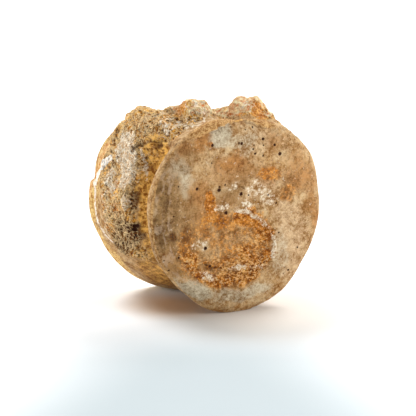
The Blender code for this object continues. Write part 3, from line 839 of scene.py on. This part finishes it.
def newNode(kind, inputs=None, **settings):
    tree = building["tree"]
    node = tree.nodes.new("ShaderNode" + kind)
    for name, setting in settings.items():
        setattr(node, name, setting)
    for name, source in (inputs or {}).items():
        if isinstance(source, bpy.types.NodeSocket):
            tree.links.new(source, node.inputs[name])
        else:
            node.inputs[name].default_value = source
    return node


def colour(red, green, blue):
    # a colour given as 0 to 255, as light
    shares = [value / 255.0 for value in (red, green, blue)]
    return tuple(s / 12.92 if s <= 0.04045 else ((s + 0.055) / 1.055) ** 2.4 for s in shares) + (1.0,)


def maths(operation, first, second=0.0, third=0.0):
    return newNode("Math", {0: first, 1: second, 2: third}, operation=operation).outputs[0]


def times(first, second):
    return maths("MULTIPLY", first, second)


def timesPlus(first, second, third):
    # first times second, plus third
    return maths("MULTIPLY_ADD", first, second, third)


def vectorMaths(operation, *parts):
    return newNode("VectorMath", dict(enumerate(parts)), operation=operation)


def blended(*parts):
    # the sum of values, each times its weight
    total = 0.0
    for value, weight in parts:
        total = timesPlus(value, weight, total)
    return total


def ramped(value, low, high):
    # 0 at low, 1 at high, an S-curve between. Where high is the smaller, it falls as the value grows
    inputs = {"Value": value, "From Min": low, "From Max": high, "To Min": 0.0, "To Max": 1.0}
    return newNode("MapRange", inputs, interpolation_type="SMOOTHSTEP").outputs[0]


def mixed(share, first, second, blend="MIX"):
    inputs = {0: share, 6: first, 7: second}
    return newNode("Mix", inputs, data_type="RGBA", blend_type=blend).outputs[2]


def noise(place, size, detail, roughness, output="Fac"):
    # size is the width of the widest patches in metres
    inputs = {"Vector": place, "Scale": 1.0 / size, "Detail": detail, "Roughness": roughness}
    return newNode("TexNoise", inputs).outputs[output]


def cells(place, size):
    # scattered cells of this size: the distance to the nearest middle
    return newNode("TexVoronoi", {"Vector": place, "Scale": 1.0 / size}).outputs["Distance"]


def attribute(name):
    return newNode("Attribute", attribute_name=name).outputs["Fac"]


def newMaterial(name):
    material = bpy.data.materials.new(name)
    material.use_nodes = True
    building["tree"] = material.node_tree
    material.node_tree.nodes.clear()
    return material


def closed(material, look, roughness, specular, bump):
    # ends a material with its shader
    inputs = {"Base Color": look, "Roughness": roughness, "Specular IOR Level": specular}
    inputs["Normal"] = newNode("Bump", bump).outputs[0]
    newNode("OutputMaterial", {"Surface": newNode("BsdfPrincipled", inputs).outputs[0]})
    return material


# Tones, dark and light, are what the eye sees on the photographed bone. "dim" is how much darker the bone
# itself is, and the lifts take some of that back where it is spongy and on the white line, which is a
# painted highlight
fossilLook = {
    "dim": 0.74,
    "spongeLift": 0.10,
    "warm": ((132, 80, 28), (226, 176, 110)),
    "cool": ((136, 100, 58), (230, 197, 149)),
    "pale": ((152, 127, 91), (230, 215, 184)),
    "cream": ((170, 127, 77), (244, 209, 164)),
    "brown": ((116, 64, 20), (208, 148, 84)),
    "shade": ((86, 54, 20), (184, 142, 90)),
    "rust": ((106, 42, 0), (246, 152, 44)),
    "rustTan": ((160, 90, 26), (250, 196, 112)),
    "rustSpeck": (250, 210, 146),
    "rustCrumb": (66, 26, 2),
    "chalk": ((202, 158, 108), (255, 242, 216)),
    "ochre": ((136, 76, 8), (255, 196, 98)),
    "orange": ((196, 118, 36), (255, 220, 158)),
    "sponge": ((98, 42, 2), (252, 182, 78)),
    "spongeGrey": ((80, 44, 14), (250, 200, 128)),
    "stump": ((200, 108, 36), (255, 242, 196)),
    "rimBand": ((176, 114, 42), (255, 222, 144)),
    "dirt": ((40, 14, 0), (122, 74, 26)),
    "lip": ((160, 104, 48), (232, 186, 122)),
    "streakLight": (232, 204, 172),
    "streakDark": (96, 72, 42),
    "strand": (255, 220, 162),
    "white": ((240, 216, 186), (255, 255, 250)),
    "highlightLift": 0.14,
    # painted shade in pits, along the fold and under the lip
    "recessShade": (70, 26, 0),
    # painted shade inside the holes
    "holeShade": (62, 28, 10),
    "fleckDark": (84, 52, 24),
    "fleckLight": (246, 230, 200),
}


def fossilMaterial():
    material = newMaterial("fossilBone")
    place = newNode("TexCoord").outputs["Object"]
    bend = noise(place, 0.0025, 2.0, 0.5, "Color")
    wavy = vectorMaths("MULTIPLY_ADD", bend, (0.0014, 0.0014, 0.0014), place).outputs[0]
    broad = noise(place, 0.016, 3.0, 0.6)
    patch = noise(place, 0.006, 4.0, 0.65)
    ragged = noise(place, 0.0028, 4.0, 0.75)
    speck = noise(place, 0.0013, 3.0, 0.7)
    grain = noise(place, 0.0005, 2.0, 0.6)
    fleck = noise(wavy, 0.0016, 2.0, 0.8)
    ridge = maths("SUBTRACT", noise(wavy, 0.0021, 2.0, 0.5), 0.5)
    ridge = ramped(maths("ABSOLUTE", ridge), 0.08, 0.0)
    pore = ramped(cells(wavy, 0.00125), 0.42, 0.12)
    pore = times(pore, ramped(ragged, 0.42, 0.58))
    faceTone = blended((broad, 0.15), (patch, 0.2), (ragged, 0.25), (speck, 0.25), (grain, 0.15))
    faceTone = ramped(faceTone, 0.40, 0.59)
    fine = ramped(blended((speck, 0.45), (grain, 0.35), (ragged, 0.2)), 0.42, 0.58)
    tatter = blended((ragged, 0.55), (speck, 0.45), (1.0, -0.5))
    drawn = vectorMaths("MULTIPLY", place, (1.0, 0.3, 1.0)).outputs[0]
    streaky = noise(drawn, 0.0017, 3.0, 0.65)
    streaked = ramped(blended((streaky, 0.65), (speck, 0.2), (grain, 0.15)), 0.40, 0.60)
    patchy = blended((patch, 0.5), (ragged, 0.5))

    def tones(name, share):
        deep, light = fossilLook[name]
        return mixed(share, colour(*deep), colour(*light))

    def layer(below, name, low, high, share, wander=1.0, above=None):
        # lays a tone over the others where its mask, made ragged by noise, passes from low to high
        edge = timesPlus(tatter, wander, attribute(name))
        above = tones(name, share) if above is None else above
        return mixed(ramped(edge, low, high), below, above)

    def touched(below, name, value, low, high, strength=1.0):
        # mixes in a single colour where a value passes from low to high
        share = times(ramped(value, low, high), strength)
        return mixed(share, below, colour(*fossilLook[name]))

    hue = ramped(patchy, 0.36, 0.64)
    look = mixed(hue, tones("warm", faceTone), tones("cool", faceTone))
    look = layer(look, "cream", 0.1, 0.85, faceTone, 1.6)
    look = layer(look, "pale", 0.15, 0.95, faceTone, 2.0)
    look = layer(look, "brown", 0.1, 1.0, faceTone, 2.2)
    look = layer(look, "shade", 0.1, 1.0, faceTone, 1.8)
    streak = timesPlus(tatter, 2.0, attribute("streak"))
    look = touched(look, "streakLight", streak, 0.1, 1.0, 0.32)
    look = touched(look, "streakDark", streak, -0.1, -1.0, 0.4)
    look = touched(look, "fleckLight", fleck, 0.36, 0.28, 0.5)
    look = touched(look, "fleckDark", fleck, 0.64, 0.74, 0.6)
    greyness = ramped(blended((patch, 0.7), (ragged, 0.3)), 0.45, 0.56)
    spongeTone = mixed(greyness, tones("sponge", fine), tones("spongeGrey", fine))
    look = layer(look, "sponge", 0.25, 0.7, fine, 0.8, spongeTone)
    look = layer(look, "ochre", 0.2, 0.7, streaked)
    look = layer(look, "stump", 0.2, 0.6, streaked)
    look = layer(look, "rimBand", 0.3, 0.8, fine, 0.8)
    look = layer(look, "orange", 0.3, 0.8, fine)
    look = layer(look, "dirt", 0.3, 0.9, fine, 1.3)
    rustShare = blended((speck, 0.4), (ragged, 0.35), (patch, 0.25))
    rustTone = tones("rust", ramped(rustShare, 0.38, 0.62))
    tanShare = times(ramped(patchy, 0.46, 0.62), 0.75)
    rustTone = mixed(tanShare, rustTone, tones("rustTan", fine))
    drawn = vectorMaths("MULTIPLY", wavy, (0.6, 1.0, 1.0)).outputs[0]
    crumb = noise(drawn, 0.0010, 3.0, 0.75)
    crumbs = timesPlus(attribute("crumbs"), 0.07, crumb)
    rustTone = touched(rustTone, "rustSpeck", crumbs, 0.55, 0.68, 0.7)
    crumbs = timesPlus(attribute("crumbs"), -0.07, crumb)
    rustTone = touched(rustTone, "rustCrumb", crumbs, 0.43, 0.33, 0.75)
    look = layer(look, "rust", 0.2, 0.85, fine, 2.4, rustTone)
    # the lip's lighter top, and a painted highlight along the front rim's edge
    look = layer(look, "lip", 0.3, 0.8, fine)
    sponginess = attribute("sponge")
    strand = ramped(attribute("strand"), 0.45, 1.0)
    strand = maths("MAXIMUM", strand, times(ridge, sponginess))
    look = mixed(times(strand, 0.8), look, colour(*fossilLook["strand"]))
    look = layer(look, "chalk", 0.25, 0.65, fine, 2.6)
    # painted highlight along the facet's rear ridge
    look = layer(look, "white", 0.35, 0.9, fine, 1.8)
    # painted shade in hollows: the mesh's mask, and pores where the bone is spongy
    pored = timesPlus(attribute("stump"), -0.6, sponginess)
    recessShade = maths("MAXIMUM", attribute("recessShade"), times(pored, pore))
    look = touched(look, "recessShade", recessShade, 0.3, 0.9, 0.8)
    # painted shade inside the holes
    wobble = timesPlus(maths("SUBTRACT", speck, 0.5), 0.6, attribute("holeShade"))
    look = touched(look, "holeShade", wobble, 0.44, 0.62)
    dim = timesPlus(sponginess, fossilLook["spongeLift"], fossilLook["dim"])
    dim = timesPlus(attribute("white"), fossilLook["highlightLift"], dim)
    look = mixed(1.0, look, dim, "MULTIPLY")
    rough = blended((speck, 0.6), (grain, 0.4))
    carved = times(blended((ridge, 0.6), (pore, -1.1)), sponginess)
    bump = {"Height": maths("ADD", rough, carved), "Distance": 0.0008, "Strength": 1.0}
    return closed(material, look, timesPlus(speck, 0.25, 0.65), 0.15, bump)


viewWay = (0.506, 0.862)  # the camera's way, seen from above
floorLook = {
    "size": 24.0,
    "white": (252, 252, 252),
    "near": (163, 172, 175),
    "ahead": ((0.0, -0.11), (-0.45, -0.22)),  # where that shade grows before the bone, and where it fades
    "aside": (0.09, -0.03, 0.35),  # where it ends at the sides and is full, and how it widens
    # the brown shadow by the left foot and a warmer one before the front rim: middle, full, end and colour
    "tints": (
        ((-0.018, -0.008, 0.0), 0.005, 0.035, (214, 186, 158)),
        ((0.005, -0.045, 0.0), 0.015, 0.06, (244, 238, 230)),
    ),
    "mottle": 0.02,
}


def floorMaterial():
    # white paper with painted shade, greyer and bluer before the bone, and painted shadows by the left foot
    # and the front rim, with a faint mottle and fibres
    material = newMaterial("floorPaper")
    place = newNode("TexCoord").outputs["Object"]
    mottle = noise(place, 0.03, 4.0, 0.6)
    fibre = noise(place, 0.0012, 2.0, 0.6)
    split = newNode("SeparateXYZ", {0: place}).outputs
    ahead = blended((split["X"], viewWay[0]), (split["Y"], viewWay[1]))
    aside = blended((split["X"], viewWay[1]), (split["Y"], -viewWay[0]))
    end, full, widening = floorLook["aside"]
    widened = timesPlus(ahead, widening, maths("ABSOLUTE", aside))
    grows, ends = floorLook["ahead"]
    floorShade = times(ramped(ahead, *grows), ramped(ahead, *ends))
    floorShade = times(floorShade, ramped(widened, end, full))
    look = mixed(floorShade, colour(*floorLook["white"]), colour(*floorLook["near"]))
    for spot, full, end, tint in floorLook["tints"]:
        away = vectorMaths("DISTANCE", place, spot).outputs["Value"]
        look = mixed(ramped(away, end, full), look, colour(*tint), "MULTIPLY")
    shade = timesPlus(mottle, -floorLook["mottle"], 1.0)
    shade = times(shade, timesPlus(fibre, -floorLook["mottle"], 1.0))
    grey = newNode("CombineColor", {0: shade, 1: shade, 2: shade}).outputs[0]
    look = mixed(1.0, look, grey, "MULTIPLY")
    return closed(material, look, 0.7, 0.2, {"Height": fibre, "Distance": 0.0001, "Strength": 0.3})


data.materials.append(fossilMaterial())
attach(fossil, "root")
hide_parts("vertebra")

half = 0.5 * floorLook["size"]
floorMesh = bpy.data.meshes.new("floor")
corners = [(-half, -half, 0), (half, -half, 0), (half, half, 0), (-half, half, 0)]
floorMesh.from_pydata(corners, [], [(0, 1, 2, 3)])
floorMesh.materials.append(floorMaterial())
floor = addObject("floor", floorMesh)
print("materials and floor made")

# Light: a white surround, dimmer overhead and in front, a wide light high behind the bone, one high on the
# right, a soft one from the front right and a low one from the left
lightLook = {
    "surround": {"low": 0.95, "high": 0.34, "from": 0.12, "to": 0.70, "front": 0.6},
    "highLeft": {"from": (-0.23, 0.79, 1.0), "away": 1.0, "spread": 28.0, "power": 2.65},
    "highRight": {"from": (0.90, 0.35, 1.0), "away": 1.0, "spread": 28.0, "power": 2.6},
    "fill": {"from": (0.45, -0.89, 0.42), "away": 0.60, "size": 0.35, "power": 1.9},
    "side": {"from": (-1.0, 0.10, 0.24), "away": 0.80, "size": 0.50, "power": 2.1},
}


def placeLamp(name, kind):
    # a lamp that aims at the middle of the bone
    look = lightLook[name]
    lamp = bpy.data.lights.new(name, kind)
    lamp.energy = look["power"]
    holder = addObject(name, lamp)
    towards = Vector(look["from"]).normalized()
    holder.location = Vector((0.0, 0.0, 0.045)) + towards * look["away"]
    holder.rotation_euler = towards.to_track_quat("Z", "Y").to_euler()
    return lamp, look


for name in ("highLeft", "highRight"):
    lamp, look = placeLamp(name, "SUN")
    lamp.angle = math.radians(look["spread"])
for name in ("fill", "side"):
    lamp, look = placeLamp(name, "AREA")
    lamp.shape = "DISK"
    lamp.size = look["size"]
world = bpy.data.worlds.new("surround")
world.use_nodes = True
tree = building["tree"] = world.node_tree
way = newNode("SeparateXYZ", {0: newNode("TexCoord").outputs["Generated"]}).outputs
sky = lightLook["surround"]
dimming = times(ramped(way["Z"], sky["from"], sky["to"]), sky["high"] - sky["low"])
frontwards = blended((way["X"], -viewWay[0]), (way["Y"], -viewWay[1]))
fading = timesPlus(ramped(frontwards, -0.1, 0.5), sky["front"] - 1.0, 1.0)
strength = times(maths("ADD", dimming, sky["low"]), fading)
tree.links.new(strength, tree.nodes["Background"].inputs["Strength"])
tree.nodes["Background"].inputs["Color"].default_value = (1.0, 1.0, 1.0, 1.0)
bpy.context.scene.world = world
bpy.context.scene.view_settings.view_transform = "Standard"

# Camera: from the front left of the bone, a little above it
view = {
    "place": (-0.3141, -0.5353, 0.1533),
    "azimuth": -30.4,
    "elevation": 9.9,
    "lens": 114.9,
    "sensor": 36.0,
    "shift": (0.0108, -0.00865),
}
lens = bpy.data.cameras.new("camera")
lens.lens = view["lens"]
lens.sensor_width = view["sensor"]
lens.shift_x, lens.shift_y = view["shift"]
lens.clip_start = 0.01
camera = addObject("camera", lens)
camera.location = view["place"]
camera.rotation_euler = Euler((math.radians(90.0 - view["elevation"]), 0.0, math.radians(view["azimuth"])))
bpy.context.scene.camera = camera
print("light and camera set")
